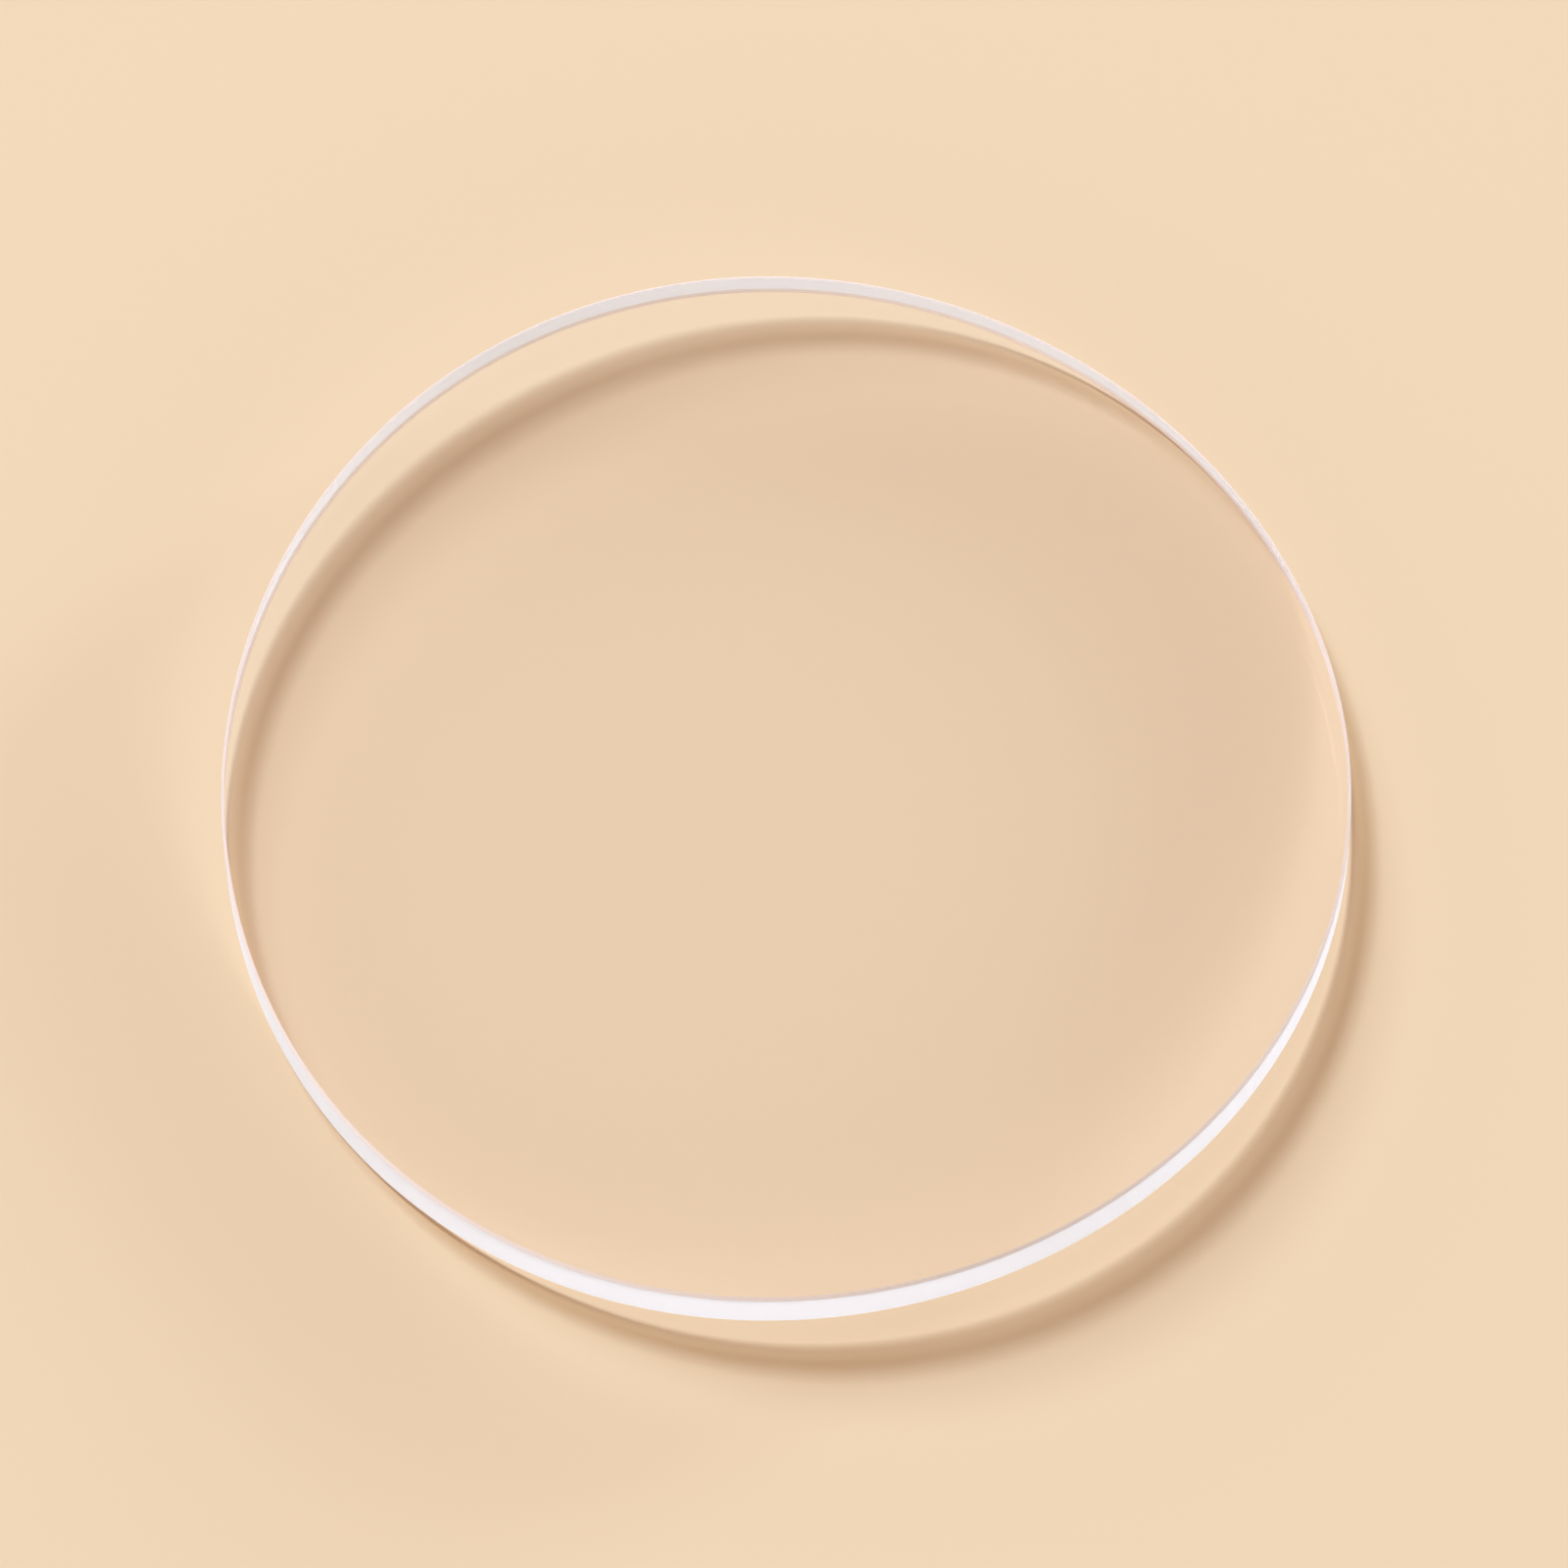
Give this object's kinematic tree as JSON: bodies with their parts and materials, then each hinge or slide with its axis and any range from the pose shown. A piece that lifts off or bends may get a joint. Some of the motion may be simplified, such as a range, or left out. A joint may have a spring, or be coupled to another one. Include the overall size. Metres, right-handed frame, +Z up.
{
  "type": "watch crystal",
  "caption": "Round clear glass watch crystal, bent about one axis, with a ground cylindrical wall and polished bevels, that closes the front of a watch case.",
  "frame": {"origin": "on the surface that the crystal lies on, under the centre of the disc", "axes": "+Z up through the domed outer face and square to the ground wall's circle; Y along the straight lines of the bend, so the low ends of the rim are at +X and -X, which face 12 and 6 o'clock in a watch"},
  "size_m": [0.0314, 0.0314, 0.0028],
  "materials": {
    "glass": "clear, polished faces and bevels, finely ground wall"
  },
  "bodies": {
    "root": {"crystal": "glass"}
  },
  "joints": []
}
